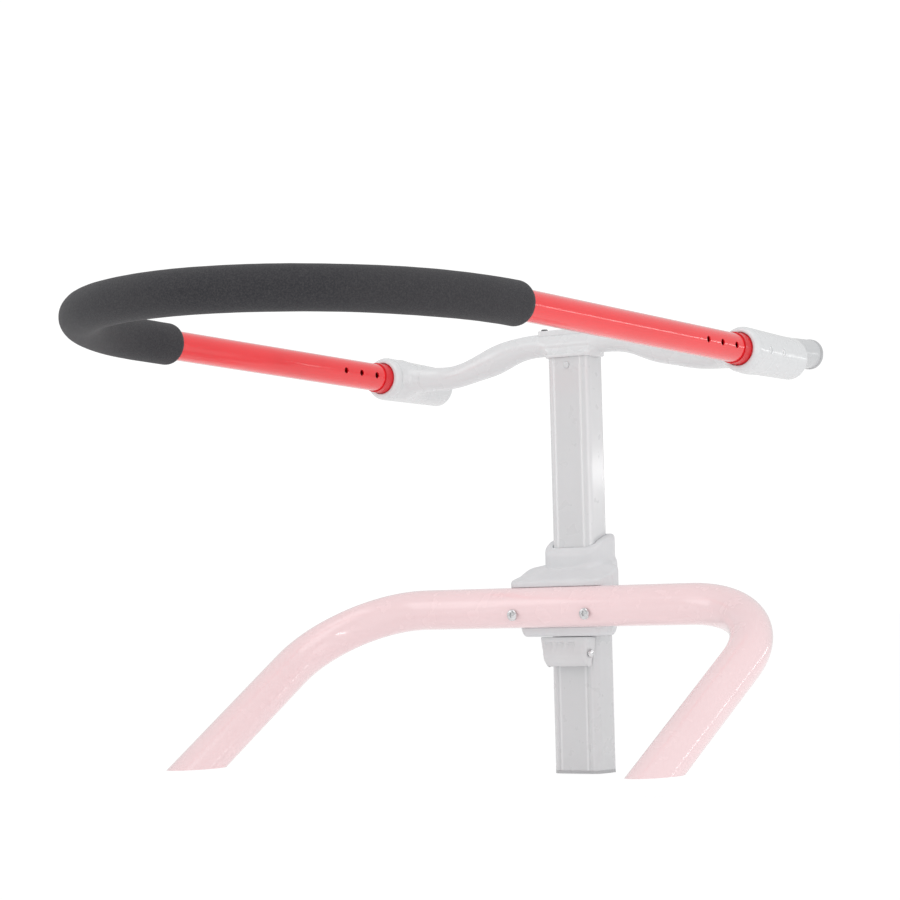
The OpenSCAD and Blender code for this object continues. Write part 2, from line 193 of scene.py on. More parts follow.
def sample(field, axes):
    """field at every lattice point, worked out in slabs to save memory"""
    counts = [len(axis) for axis in axes]
    values = np.empty(counts)
    slab = max(1, int(400000 // (counts[1] * counts[2])))
    plane_y, plane_z = np.meshgrid(axes[1], axes[2], indexing="ij")
    for i in range(0, counts[0], slab):
        xs = axes[0][i:i + slab]
        points = np.empty((len(xs),) + plane_y.shape + (3,))
        points[..., 0] = xs[:, None, None]
        points[..., 1] = plane_y
        points[..., 2] = plane_z
        values[i:i + slab] = field(points)
    return values


def cell_points(values, cells):
    """mean of the edge crossings of each cell, in cell units"""
    total = np.zeros((len(cells), 3))
    crossings = np.zeros(len(cells))
    for start in CORNERS:
        for axis in range(3):
            if start[axis]:
                continue
            end = list(start)
            end[axis] = 1
            first = values[tuple((cells + start).T)]
            second = values[tuple((cells + end).T)]
            crossed = (first < 0) != (second < 0)
            part = np.where(crossed, first / np.where(crossed, first - second, 1), 0)
            place = np.tile(np.array(start, float), (len(cells), 1))
            place[:, axis] += part
            total[crossed] += place[crossed]
            crossings[crossed] += 1
    return cells + total / crossings[:, None]


def cell_quads(inside, index):
    """a quad round every lattice edge that crosses the surface"""
    counts = inside.shape
    quads = []
    for axis in range(3):
        step = [int(a == axis) for a in range(3)]
        near = inside[:counts[0] - step[0], :counts[1] - step[1], :counts[2] - step[2]]
        far = inside[step[0]:, step[1]:, step[2]:]
        edges = np.argwhere(near != far)
        u, w = (axis + 1) % 3, (axis + 2) % 3
        edges = edges[(edges[:, u] > 0) & (edges[:, w] > 0)
                      & (edges[:, u] < counts[u] - 1) & (edges[:, w] < counts[w] - 1)]
        around = []
        for shift_u, shift_w in ((-1, -1), (0, -1), (0, 0), (-1, 0)):
            cell = edges.copy()
            cell[:, u] += shift_u
            cell[:, w] += shift_w
            around.append(index[tuple(cell.T)])
        quad = np.stack(around, 1)
        leaving = near[tuple(edges.T)]
        quad[~leaving] = quad[~leaving][:, ::-1]
        quads.append(quad)
    return np.vstack(quads)


def differences(field, points, step):
    """change of the field over 2 * step along each axis"""
    return np.stack([field(points + shift) - field(points - shift)
                     for shift in np.eye(3) * step], 1)


def unit(vectors):
    return vectors / np.maximum(np.linalg.norm(vectors, axis=1), 1e-9)[:, None]


def surface(field, low, high, cell):
    """points, quads and normals of field = 0: surface nets, then Newton steps"""
    low, high = np.asarray(low, float), np.asarray(high, float)
    counts = np.ceil((high - low) / cell).astype(int) + 1
    values = sample(field, [low[i] + cell * np.arange(counts[i]) for i in range(3)])
    inside = values < 0
    corners_in = np.zeros(counts - 1, int)
    for i, j, k in CORNERS:
        corners_in += inside[i:counts[0] - 1 + i, j:counts[1] - 1 + j, k:counts[2] - 1 + k]
    active = (corners_in > 0) & (corners_in < 8)
    index = np.full(counts - 1, -1)
    index[active] = np.arange(active.sum())
    points = low + cell * cell_points(values, np.argwhere(active))
    faces = cell_quads(inside, index)

    def gradient(places):
        step = 0.02
        return differences(field, places, step) / (2 * step)

    for _ in range(3):
        slope = gradient(points)
        steepness = np.maximum((slope * slope).sum(1), 0.25)
        move = -(field(points) / steepness)[:, None] * slope
        length = np.linalg.norm(move, axis=1)
        move *= np.minimum(1, 0.35 * cell / np.maximum(length, 1e-9))[:, None]
        points = points + move
    return points, faces, unit(gradient(points))


def field_piece(name, field, low, high, cell, body, replaces, material, whole=None):
    """object from a distance field; whole is the undivided shape of a piece cut at SEAM_X"""
    points, faces, normals = surface(field, low, high, cell)
    if whole:
        # along the seam the skin keeps the normals of the undivided shape
        near = np.flatnonzero(np.abs(np.abs(points[:, 0]) - SEAM_X) < 1.5 * cell)
        on_skin = whole(points[near]) > -0.4
        normals[near[on_skin]] = unit(differences(whole, points[near], 0.05))[on_skin]
    obj = make(name, points, faces, body, replaces, material)
    obj.data.normals_split_custom_set_from_vertices([tuple(n) for n in normals])


# ---------------------------------------------------------------- shader helpers (metres)
def set_inputs(node, values):
    for key, value in values.items():
        node.inputs[key].default_value = value


def new_material(name):
    material = bpy.data.materials.new(name)
    material.use_nodes = True
    tree = material.node_tree
    tree.nodes.clear()
    output = tree.nodes.new("ShaderNodeOutputMaterial")
    shader = tree.nodes.new("ShaderNodeBsdfPrincipled")
    tree.links.new(shader.outputs[0], output.inputs[0])
    return material, tree, shader


def coords(tree, scale=(1, 1, 1)):
    texture = tree.nodes.new("ShaderNodeTexCoord")
    mapping = tree.nodes.new("ShaderNodeMapping")
    set_inputs(mapping, {"Scale": scale})
    tree.links.new(texture.outputs["Object"], mapping.inputs["Vector"])
    return mapping.outputs["Vector"]


def noise_tex(tree, place, scale, detail=3.0, roughness=0.5):
    node = tree.nodes.new("ShaderNodeTexNoise")
    set_inputs(node, {"Scale": scale, "Detail": detail, "Roughness": roughness})
    tree.links.new(place, node.inputs["Vector"])
    return node.outputs["Fac"]


def remap(tree, value, span=(0.3, 0.7), to=(0.0, 1.0)):
    node = tree.nodes.new("ShaderNodeMapRange")
    set_inputs(node, {"From Min": span[0], "From Max": span[1],
                      "To Min": to[0], "To Max": to[1]})
    tree.links.new(value, node.inputs["Value"])
    return node.outputs["Result"]


def mix(tree, factor, first, second):
    """blend of two colours, each a socket or an RGB tuple"""
    node = tree.nodes.new("ShaderNodeMix")
    node.data_type = "RGBA"
    tree.links.new(factor, node.inputs["Factor"])
    for key, color in (("A", first), ("B", second)):
        socket = [s for s in node.inputs if s.name == key and s.type == "RGBA"][0]
        if isinstance(color, tuple):
            socket.default_value = (*color, 1)
        else:
            tree.links.new(color, socket)
    return [s for s in node.outputs if s.type == "RGBA"][0]


def mottle(tree, place, scale, main, shade):
    return mix(tree, remap(tree, noise_tex(tree, place, scale, detail=4)), main, shade)


def uneven_gloss(tree, shader, place, scale, detail, limits):
    value = remap(tree, noise_tex(tree, place, scale, detail), to=limits)
    tree.links.new(value, shader.inputs["Roughness"])


def soft_edges(tree, radius):
    """normals rounded over at the edges of a hard part"""
    node = tree.nodes.new("ShaderNodeBevel")
    node.samples = 4
    set_inputs(node, {"Radius": radius})
    return node.outputs["Normal"]


def bump(tree, shader, height, strength, distance, under=None):
    """relief on the shader's normal, laid over the normal given as under"""
    node = tree.nodes.new("ShaderNodeBump")
    set_inputs(node, {"Strength": strength, "Distance": distance})
    tree.links.new(height, node.inputs["Height"])
    if under is not None:
        tree.links.new(under, node.inputs["Normal"])
    tree.links.new(node.outputs["Normal"], shader.inputs["Normal"])
    return node.outputs["Normal"]


def axis_value(tree, place, axis):
    node = tree.nodes.new("ShaderNodeSeparateXYZ")
    tree.links.new(place, node.inputs[0])
    return node.outputs[axis]


# ---------------------------------------------------------------- kinds of material
# painted highlights on the columns: the ramp lightens the paint by distance from the X = 0 plane
HIGHLIGHT_SPAN = 0.030                  # distance from the X = 0 plane that the ramp covers
# ramp position, brightness of the painted highlight
HIGHLIGHT_STOPS = ((0.46, 0.0), (0.50, 0.8), (0.545, 0.8), (0.57, 0.1), (0.69, 0.1),
              (0.74, 0.45), (0.79, 0.2))


def painted_column_highlights(tree, place, color, strength):
    """painted highlights: lighter paint in stripes beside the flutes and along the corners of a
    column
    """
    distance = tree.nodes.new("ShaderNodeMath")
    distance.operation = "ABSOLUTE"
    tree.links.new(axis_value(tree, place, "X"), distance.inputs[0])
    ramp = tree.nodes.new("ShaderNodeValToRGB")
    tree.links.new(remap(tree, distance.outputs[0], span=(0.0, HIGHLIGHT_SPAN)), ramp.inputs["Fac"])
    stops = ramp.color_ramp.elements
    end_level = 0.15 * strength
    stops[0].position, stops[0].color = 0.0, (0, 0, 0, 1)
    stops[1].position, stops[1].color = 1.0, (end_level, end_level, end_level, 1)
    for position, value in HIGHLIGHT_STOPS:
        level = value * strength
        stops.new(position).color = (level, level, level, 1)
    # mixed towards this light grey, the painted highlight colour
    return mix(tree, ramp.outputs["Color"], color, (0.86, 0.87, 0.88))


def paint(name, main, shade, rough, coat, peel=0.004, edge=0.0, painted_highlights=0.0, behind=None):
    """paint with faint mottling, orange peel and uneven gloss, and optional painted highlights
    for a column; behind is (Y, colour): painted shade in that colour past that Y
    """
    material, tree, shader = new_material(name)
    place = coords(tree)
    color = mottle(tree, place, 14.0, main, shade)
    if behind:
        # painted shade: past Y = start the paint turns to the darker colour
        start, painted_shade_color = behind
        mask = remap(tree, axis_value(tree, place, "Y"), span=(start, start + 0.0012))
        color = mix(tree, mask, color, painted_shade_color)
    # painted highlights: stripes of lighter paint on a column
    if painted_highlights:
        color = painted_column_highlights(tree, place, color, painted_highlights)
    tree.links.new(color, shader.inputs["Base Color"])
    uneven_gloss(tree, shader, place, scale=55.0, detail=5, limits=(rough * 0.8, rough * 1.25))
    set_inputs(shader, {"Coat Weight": coat, "Coat Roughness": 0.08})
    coarse = bump(tree, shader, noise_tex(tree, place, scale=420.0, detail=2),
                  strength=peel * 4, distance=0.0004,
                  under=soft_edges(tree, edge) if edge else None)
    bump(tree, shader, noise_tex(tree, place, scale=2600.0, detail=2),
         strength=peel * 2, distance=0.0002, under=coarse)
    return material


def plastic(name, main, shade, rough, grain=900.0, relief=0.12, edge=0.0):
    """moulded plastic: fine grain, faint flow marks and scuffs drawn out along Z"""
    material, tree, shader = new_material(name)
    place = coords(tree)
    color = mottle(tree, coords(tree, scale=(1, 1, 0.35)), 32.0, main, shade)
    marks = noise_tex(tree, coords(tree, scale=(1, 1, 0.12)), scale=70.0, detail=6, roughness=0.7)
    scuff = remap(tree, marks, span=(0.58, 0.75), to=(0, 0.25))
    color = mix(tree, scuff, color, tuple(min(1, part * 1.08 + 0.01) for part in main))
    tree.links.new(color, shader.inputs["Base Color"])
    uneven_gloss(tree, shader, place, scale=120.0, detail=4, limits=(rough * 0.85, rough * 1.2))
    bump(tree, shader, noise_tex(tree, place, scale=grain, detail=3),
         strength=relief, distance=0.0003, under=soft_edges(tree, edge) if edge else None)
    return material


def steel(name, main, rough):
    """bare metal with a grain that is fine along Y"""
    material, tree, shader = new_material(name)
    color = mottle(tree, coords(tree), 180.0, main, tuple(part * 0.78 for part in main))
    tree.links.new(color, shader.inputs["Base Color"])
    set_inputs(shader, {"Metallic": 1.0})
    uneven_gloss(tree, shader, coords(tree, scale=(1, 30, 1)), scale=300.0, detail=3,
                 limits=(rough * 0.7, rough * 1.4))
    bump(tree, shader, noise_tex(tree, coords(tree, scale=(1, 25, 1)), scale=500.0, detail=2),
         strength=0.15, distance=0.0002, under=soft_edges(tree, 0.0003))
    return material


def foam(name):
    """closed-cell foam: blotches, pale grain, dark cell pits and a slight sheen"""
    material, tree, shader = new_material(name)
    place = coords(tree)
    color = mottle(tree, place, 9.0, (0.026, 0.026, 0.031), (0.036, 0.035, 0.039))
    fine = noise_tex(tree, place, scale=700.0, detail=6, roughness=0.7)
    color = mix(tree, remap(tree, fine, span=(0.42, 0.68)), color, (0.060, 0.058, 0.061))
    cells = tree.nodes.new("ShaderNodeTexVoronoi")
    set_inputs(cells, {"Scale": 1150.0})
    tree.links.new(place, cells.inputs["Vector"])
    distance = cells.outputs["Distance"]
    pits = remap(tree, distance, span=(0.0, 0.45))
    pit_shade = remap(tree, distance, span=(0.0, 0.3), to=(0.55, 0.0))
    color = mix(tree, pit_shade, color, (0.016, 0.016, 0.018))
    tree.links.new(color, shader.inputs["Base Color"])
    set_inputs(shader, {"Roughness": 0.86, "Specular IOR Level": 0.28,
                        "Sheen Weight": 0.08, "Sheen Roughness": 0.5})
    pitted = bump(tree, shader, pits, strength=0.35, distance=0.0004)
    grained = bump(tree, shader, fine, strength=0.45, distance=0.0006, under=pitted)
    bump(tree, shader, noise_tex(tree, place, scale=60.0, detail=3),
         strength=0.12, distance=0.002, under=grained)
    return material


# ---------------------------------------------------------------- the materials
SATIN = dict(rough=0.3, coat=0.45, edge=0.0006)
WHITE_GLOSS = dict(main=(0.70, 0.71, 0.72), shade=(0.685, 0.695, 0.705), rough=0.26, coat=0.5)

M_RED = paint("red_gloss_paint", main=(0.89, 0.014, 0.022), shade=(0.81, 0.010, 0.017),
              rough=0.2, coat=0.8)
M_FRAME = paint("frame_gloss_paint", main=(0.875, 0.67, 0.685), shade=(0.862, 0.652, 0.667),
                rough=0.24, coat=0.7, peel=0.003)
# both columns carry painted highlight stripes along their flutes and corners
M_COLUMN = paint("column_satin_paint", main=(0.64, 0.65, 0.66), shade=(0.62, 0.63, 0.64),
                 painted_highlights=0.9, **SATIN)
M_OUTER = paint("outer_column_satin_paint", main=(0.61, 0.62, 0.63), shade=(0.59, 0.60, 0.61),
                painted_highlights=0.45, **SATIN)
M_WHITE = paint("weldment_gloss_paint", **WHITE_GLOSS)
M_SLEEVE = paint("sleeve_gloss_paint", **WHITE_GLOSS)
# past Y = 57.2 mm, where the stub leaves the back of the sleeve, the paint is darker: painted
# shade on the stub
M_STUB_SLEEVE = paint("stub_sleeve_gloss_paint", main=(0.69, 0.70, 0.71),
                      shade=(0.675, 0.685, 0.695), rough=0.26, coat=0.5,
                      behind=(0.0572, (0.55, 0.56, 0.57)))
M_GREY = plastic("collar_plastic", main=(0.675, 0.685, 0.70), shade=(0.64, 0.65, 0.665),
                 rough=0.4)
M_LATCH = plastic("latch_plastic", main=(0.675, 0.68, 0.69), shade=(0.64, 0.645, 0.655),
                  rough=0.38)
# the bushings' darker red than the loop tube is painted shade for the shaded ring where the tube
# goes into each sleeve
M_BUSHING = plastic("bushing_plastic", main=(0.74, 0.02, 0.03), shade=(0.62, 0.014, 0.02),
                    rough=0.3, grain=700.0, relief=0.08, edge=0.0004)
M_DARK = plastic("dark_plastic", main=(0.06, 0.06, 0.065), shade=(0.04, 0.04, 0.045),
                 rough=0.45, edge=0.0004)
M_CAP = plastic("cap_plastic", main=(0.47, 0.475, 0.485), shade=(0.44, 0.445, 0.455),
                rough=0.3, grain=1200.0, relief=0.06, edge=0.0008)
M_STEEL = steel("zinc_steel", main=(0.78, 0.78, 0.79), rough=0.24)
M_PALE = paint("pale_screw_paint", main=(0.93, 0.935, 0.94), shade=(0.90, 0.905, 0.91),
               rough=0.25, coat=0.6)
M_RUBBER = plastic("brake_rubber", main=(0.30, 0.30, 0.31), shade=(0.25, 0.25, 0.26), rough=0.7)
M_FOAM = foam("charcoal_foam")

CAD_MATERIALS = {
    "outer_column": M_OUTER, "column_end_plug": M_CAP, "collar": M_GREY, "guide_bush": M_CAP,
    "yoke_tube": M_FRAME, "yoke_screws": M_STEEL, "yoke_nuts": M_STEEL,
    "yoke_spacers": M_STEEL, "latch_housing": M_LATCH, "latch_spring": M_STEEL,
    "latch_pivot_pin": M_STEEL, "latch_lever": M_LATCH, "brake_shoe": M_RUBBER,
    "inner_column": M_COLUMN, "inner_column_glide": M_DARK, "saddle": M_WHITE,
    "saddle_rivets": M_COLUMN, "crossbar": M_WHITE, "saddle_cap": M_WHITE,
    "saddle_cap_screws": M_DARK, "left_sleeve": M_SLEEVE, "right_sleeve": M_SLEEVE,
    "sleeve_bushings": M_BUSHING, "sleeve_screws": M_PALE, "stub_cap": M_CAP,
    "loop_tube": M_RED, "foam_grip": M_FOAM, "loop_end_plugs": M_DARK,
}
for part_name, part in NODES.items():
    part.data.materials.clear()
    part.data.materials.append(CAD_MATERIALS[part_name])


# ---------------------------------------------------------------- loop bar
def from_loop(points):
    """loop plane coordinates (x, y, normal) to the product's frame"""
    x, y, up = xyz(np.asarray(points, float))
    return np.stack([x, ARM_Y + y * TILT_COS + up * TILT_SIN,
                     ARM_Z - y * TILT_SIN + up * TILT_COS], -1)


def loop_point(station):
    """centre and outward direction; stations run from the right mouth to the left mouth"""
    if station <= ARM_LEN:
        return vec(ARM_X, -station, 0), vec(1, 0, 0)
    if station >= ARM_LEN + ARC_LEN:
        return vec(-ARM_X, -(LOOP_LEN - station), 0), vec(-1, 0, 0)
    angle = (station - ARM_LEN) / ARM_X
    outward = vec(math.cos(angle), -math.sin(angle), 0)
    return vec(0, -ARM_LEN, 0) + ARM_X * outward, outward


FOAM_START, FOAM_END = 362.0, LOOP_LEN - 328.0    # stations of the right and left ends
FOAM_LIP_R, FOAM_SWELL, FOAM_NOSE = 14.3, 5.6, 7.5  # end radius, growth, length of growth
FOAM_R = 19.9
FOAM_SIDES = 96


def foam_stations():
    """(station, radius) along the foam, each end a quarter ellipse"""
    nose = []
    for i in range(13):
        angle = math.pi / 2 * i / 12
        nose.append((FOAM_NOSE * (1 - math.cos(angle)),
                     FOAM_LIP_R + FOAM_SWELL * math.sin(angle)))
    middle = FOAM_END - FOAM_START - 2 * FOAM_NOSE
    steps = int(middle / 4.0)
    return ([(FOAM_START + inset, radius) for inset, radius in nose]
            + [(FOAM_START + FOAM_NOSE + middle * i / steps, FOAM_R) for i in range(1, steps)]
            + [(FOAM_END - inset, radius) for inset, radius in nose[::-1]])


def build_foam():
    angles = 2 * math.pi * np.arange(FOAM_SIDES) / FOAM_SIDES
    stations = foam_stations()
    rings = []
    for station, radius in stations:
        centre, outward = loop_point(station)
        wobble = np.zeros(FOAM_SIDES)
        for j, point in enumerate(ring(centre, outward, radius, FOAM_SIDES)):
            place = Vector(point) * 0.012
            wobble[j] = (0.32 * noise.noise(place)
                         + 0.10 * noise.noise(place * 6.0 + Vector((3, 1, 7))))
        # thinner on the outside of the bend and thicker inside, fading out along the arms
        arc_end = ARM_LEN + ARC_LEN
        if ARM_LEN < station < arc_end:
            bend = 1.0
        else:
            bend = math.exp(-min(abs(station - ARM_LEN), abs(station - arc_end)) / 25)
        grown = (radius - FOAM_LIP_R) / FOAM_SWELL
        wobble = (wobble - 0.15 * bend * np.cos(angles)) * grown
        rings.append(ring(centre, outward, radius + wobble, FOAM_SIDES))
    for station, _ in stations[::-1]:      # bore
        rings.append(ring(*loop_point(station), LOOP_R + 0.12, FOAM_SIDES))
    make("foam_sleeve", from_loop(np.vstack(rings)),
         grid_faces(len(rings), FOAM_SIDES, closed=True),
         "loop", ("foam_grip",), M_FOAM)


TUBE_SIDES = 72
PATCH, PATCH_CELL = 4, 1.25        # a hole's patch: half side in cells, cell length
HOLE_R = 3.0


def tube_stations():
    """stations along the tube, fine round the holes and the same on both arms"""
    stations = [-ARM_INSERT]

    def run_to(end, steps):
        start = stations[-1]
        stations.extend([start + (end - start) * (i + 1) / steps for i in range(steps)])

    for hole in LOOP_HOLES:
        patch_start = hole - PATCH * PATCH_CELL
        run_to(patch_start, max(1, int(round((patch_start - stations[-1]) / 3.0))))
        run_to(hole + PATCH * PATCH_CELL, 2 * PATCH)
    run_to(ARM_LEN, 60)
    arm = list(stations)
    run_to(ARM_LEN + ARC_LEN, 120)
    return stations + [LOOP_LEN - station for station in arm[::-1][1:]]


def patch_border(row, column):
    """(row, column) pairs round a hole's patch"""
    side = 2 * PATCH
    return ([(row + i, column - PATCH) for i in range(side)]
            + [(row + side, column + j) for j in range(-PATCH, PATCH)]
            + [(row + i, column + PATCH) for i in range(side, 0, -1)]
            + [(row, column + j) for j in range(PATCH, -PATCH, -1)])


def build_loop_tube():
    """tube with round holes through both walls, set into square patches of its grid"""
    stations = tube_stations()
    rows = len(stations)
    inner_r = LOOP_R - LOOP_WALL
    verts, faces = [], []
    for radius in (LOOP_R, inner_r):
        for station in stations:
            verts.extend(ring(*loop_point(station), radius, TUBE_SIDES))
    outer = np.arange(rows * TUBE_SIDES).reshape(rows, TUBE_SIDES)
    inner = outer + rows * TUBE_SIDES

    holes, skipped = [], set()
    for hole in LOOP_HOLES:
        for centre in (hole, LOOP_LEN - hole):
            row = int(np.argmin(np.abs(np.array(stations) - (centre - PATCH * PATCH_CELL))))
            for column in (0, TUBE_SIDES // 2):
                holes.append((row, column, centre))
                skipped.update((row + i, (column + j) % TUBE_SIDES)
                               for i in range(2 * PATCH) for j in range(-PATCH, PATCH))
    for i in range(rows - 1):
        for j in range(TUBE_SIDES):
            if (i, j) in skipped:
                continue
            k = (j + 1) % TUBE_SIDES
            faces.append((outer[i, j], outer[i + 1, j], outer[i + 1, k], outer[i, k]))
            faces.append((inner[i, j], inner[i, k], inner[i + 1, k], inner[i + 1, j]))
    faces += rim_faces(rows, TUBE_SIDES)

    for row, column, centre in holes:
        middle = 2 * math.pi * column / TUBE_SIDES
        border = patch_border(row, column)
        count = len(border)

        def hole_ring(tube_r, part, hole_r, inset=0.0):
            """adds a ring lying part of the way from the patch border to the hole"""
            added = []
            for i, j in border:
                along = stations[i] - centre
                turn = 2 * math.pi * j / TUBE_SIDES - middle
                angle = math.atan2(turn * LOOP_R, along)
                hole_along = hole_r * math.cos(angle)
                hole_turn = math.asin(max(-1, min(1, hole_r * math.sin(angle) / tube_r)))
                spot, outward = loop_point(centre + along * (1 - part) + hole_along * part)
                theta = middle + turn * (1 - part) + hole_turn * part
                radius = tube_r - inset
                added.append(len(verts))
                verts.append(spot + math.cos(theta) * radius * outward
                             + math.sin(theta) * radius * vec(0, 0, 1))
            return added

        last = [outer[i, j % TUBE_SIDES] for i, j in border]
        # part of the way in, hole radius, depth: the last three round the hole's edge
        for part, hole_r, inset in ((0.4, HOLE_R + 0.35, 0.0), (0.75, HOLE_R + 0.35, 0.0),
                                    (1.0, HOLE_R + 0.35, 0.0), (1.0, HOLE_R + 0.1, 0.08),
                                    (1.0, HOLE_R, 0.32)):
            current = hole_ring(LOOP_R, part, hole_r, inset)
            for i in range(count):
                k = (i + 1) % count
                faces.append((last[i], last[k], current[k], current[i]))
            last = current
        inside = [inner[i, j % TUBE_SIDES] for i, j in border]
        current = hole_ring(inner_r, 1.0, HOLE_R)
        for i in range(count):
            k = (i + 1) % count
            faces.append((inside[k], inside[i], current[i], current[k]))
            faces.append((last[i], last[k], current[k], current[i]))
    obj = make("loop_bar_tube", from_loop(np.array(verts)), faces,
               "loop", ("loop_tube",), M_RED, sharp_angle=40)
    face_outwards(obj.data)


# ---------------------------------------------------------------- frame tube
YOKE_SIDES = 80


def build_yoke():
    slope_cos, slope_sin = math.cos(YOKE_SLOPE), math.sin(YOKE_SLOPE)
    down_leg = vec(0, -slope_cos, -slope_sin)

    def from_yoke(points):
        x, y, up = xyz(points)
        return np.stack([x, YOKE_Y + y * slope_cos - up * slope_sin,
                         YOKE_Z + y * slope_sin + up * slope_cos], -1)

    def leg_end(last):
        """rings carrying the tube on down the leg to the level cut"""
        reach = (last[:, 2] - LEG_CUT_Z) / slope_sin
        return [last + (reach * part)[:, None] * down_leg for part in (0.33, 0.66, 1.0)]

    # centre and outward direction, from the middle to the right leg
    half = [(vec(YOKE_HALF * i / 40, 0, 0), vec(0, 1, 0)) for i in range(41)]
    for i in range(1, 65):
        angle = math.pi / 2 * i / 64
        outward = vec(math.sin(angle), math.cos(angle), 0)
        half.append((vec(YOKE_HALF, -YOKE_BEND, 0) + YOKE_BEND * outward, outward))
    for i in range(1, 21):
        half.append((vec(YOKE_HALF + YOKE_BEND, -YOKE_BEND - 6.0 * i, 0), vec(1, 0, 0)))
    mirror = vec(-1, 1, 1)
    path = [(centre * mirror, outward * mirror) for centre, outward in half[:0:-1]] + half

    rings = []
    for radius in (YOKE_R, YOKE_R - YOKE_WALL):
        wall = [from_yoke(ring(centre, outward, radius, YOKE_SIDES)) for centre, outward in path]
        rings += leg_end(wall[0])[::-1] + wall + leg_end(wall[-1])
    rows = len(rings) // 2
    faces = (grid_faces(rows, YOKE_SIDES)
             + grid_faces(rows, YOKE_SIDES, base=rows * YOKE_SIDES, flip=True)
             + rim_faces(rows, YOKE_SIDES))
    obj = make("frame_tube", np.vstack(rings), faces,
               "frame", ("yoke_tube",), M_FRAME, sharp_angle=50)
    face_outwards(obj.data)


# ---------------------------------------------------------------- crossbar, saddle, sleeves
def bar_tube(points):
    """gull-wing tube, both sides at once"""
    x, y, z = np.abs(points[..., 0]), points[..., 1], points[..., 2]
    slope_x = BAR_MID + BAR_BEND * BAR_SIN
    slope_z = BAR_Z - BAR_BEND * (1 - BAR_COS)
    # distance in the XZ plane to each stretch of the bent axis
    upper = np.abs(np.hypot(x - BAR_MID, z - (BAR_Z - BAR_BEND)) - BAR_BEND)
    lower = np.abs(np.hypot(x - BAR_LEVEL_X, z - (BAR_END_Z + BAR_BEND)) - BAR_BEND)
    slope = np.abs((x - slope_x) * BAR_SIN + (z - slope_z) * BAR_COS)
    along = (x - slope_x) * BAR_COS - (z - slope_z) * BAR_SIN
    outer = np.where(x < BAR_LEVEL_X, lower, np.abs(z - BAR_END_Z))
    away = np.where(x < BAR_MID, np.abs(z - BAR_Z),
                    np.where(along < 0, upper, np.where(along < BAR_SLOPE, slope, outer)))
    swell = 2.8 * np.exp(-((x - 96.0) / 24.0) ** 2)
    return np.sqrt(away * away + y * y) - BAR_R - swell


def arm_local(points, side):
    """arm's own frame: outwards from the arm axis, back along the arm, up"""
    x = (points[..., 0] - side * ARM_X) * side
    y, z = points[..., 1] - ARM_Y, points[..., 2] - ARM_Z
    return x, y * TILT_COS - z * TILT_SIN, y * TILT_SIN + z * TILT_COS


def sleeve_body(points, side):
    x, y, z = arm_local(points, side)
    body = np.hypot(x, z) - (21.9 - 1.9 * np.clip(y, 0, 94) / 92.0)
    body = smooth_max(body, y - 92.2, 2.6)                 # softly rounded back end
    if side > 0:
        stub = round_bar(points, vec(ARM_X, 30, STUB_Z), vec(ARM_X, STUB_END - 6.6, STUB_Z),
                         STUB_R, STUB_R)
        # ring line just in front of the stub's back end
        stub = stub + 1.1 * np.exp(-((points[..., 1] - STUB_END + 9.2) / 1.2) ** 2)
        body = smooth_min(body, stub, 1.4)
    return body


def welded_sleeve(points, side):
    """sleeve with the end of the crossbar, which flares towards the mouth"""
    out = points[..., 0] * side
    bar = np.maximum(np.maximum(bar_tube(points), 120.0 - out), out - 205.0)
    flare = round_bar(points, vec(side * 150, 0, BAR_END_Z + 0.5),
                      vec(side * 204, -14, BAR_END_Z + 0.6), 4.0, 17.0)
    return smooth_min(sleeve_body(points, side), smooth_min(bar, flare, 7.0), 8.0)


def sleeve_skin(side):
    nose_y = 2.5                                           # the nose lies in front of this

    def field(points):
        x, y, z = arm_local(points, side)
        radial = np.hypot(x, z)
        round_off = np.sqrt(np.clip(1 - ((nose_y - y) / 8.2) ** 2, 0, 1))
        nose = radial - (16.4 + 5.4 * round_off)
        solid = np.where(y < nose_y, nose, welded_sleeve(points, side))
        solid = smooth_max(solid, -(y + 5.4), 0.9)
        # fine line behind the nose
        line = 0.4 * np.exp(-((y - 3.4) / 1.1) ** 2)
        return solid + line * (np.abs(radial - 21.7) < 2.5)
    return field


def sleeve_field(side):
    skin = sleeve_skin(side)

    def field(points):
        x, y, z = arm_local(points, side)
        solid = cut(skin(points), np.maximum(np.hypot(x, z) - 15.95, y - 86.0), 0.8)
        # holes in the outer wall over the loop tube's two rearmost holes
        for station in LOOP_HOLES[1::-1]:
            solid = cut(solid, np.where(x > 4, np.hypot(y + station, z) - 3.1, 9.0), 0.7)
        if side > 0:
            bore = round_bar(points, vec(ARM_X, 70, STUB_Z), vec(ARM_X, 120, STUB_Z), 11.0, 11.0)
            solid = np.maximum(solid, -bore)
        return np.maximum(solid, SEAM_X - 0.4 - points[..., 0] * side)
    return field


def saddle(points):
    """block flaring from the column's outline up into the crossbar, with a lip below"""
    x, y, z = xyz(points)
    rise = np.clip((z - 417.0) / 7.0, 0, 1)
    plan = rounded_rect(x, y, 25.6 + 6.0 * rise ** 1.6, 16.2 - 6.5 * rise, 6.0)
    block = smooth_max(plan, np.abs(z - 419.5) - 5.0, 3.0)
    lip = smooth_max(rounded_rect(x, y, 26.7, 17.2, 7.0), np.abs(z - 415.8) - 1.8, 1.2)
    return smooth_min(block, lip, 1.5)


def bar_skin(points):
    solid = smooth_min(bar_tube(points), saddle(points), 9.0)
    for side in (-1, 1):
        joined = np.minimum(solid, welded_sleeve(points, side))
        solid = np.where(points[..., 0] * side > 121, joined, solid)
    return solid


def bar_field(points):
    x, y, z = xyz(points)
    solid = np.maximum(bar_skin(points), np.abs(x) - SEAM_X)
    socket = np.maximum(rounded_rect(x, y, 24.2, 15.2, 6.0), z - 414.1)
    screw_holes = np.maximum(np.hypot(np.abs(x) - 36.0, y) - 2.1, 433.0 - z)
    return np.maximum(np.maximum(solid, -socket), -screw_holes)


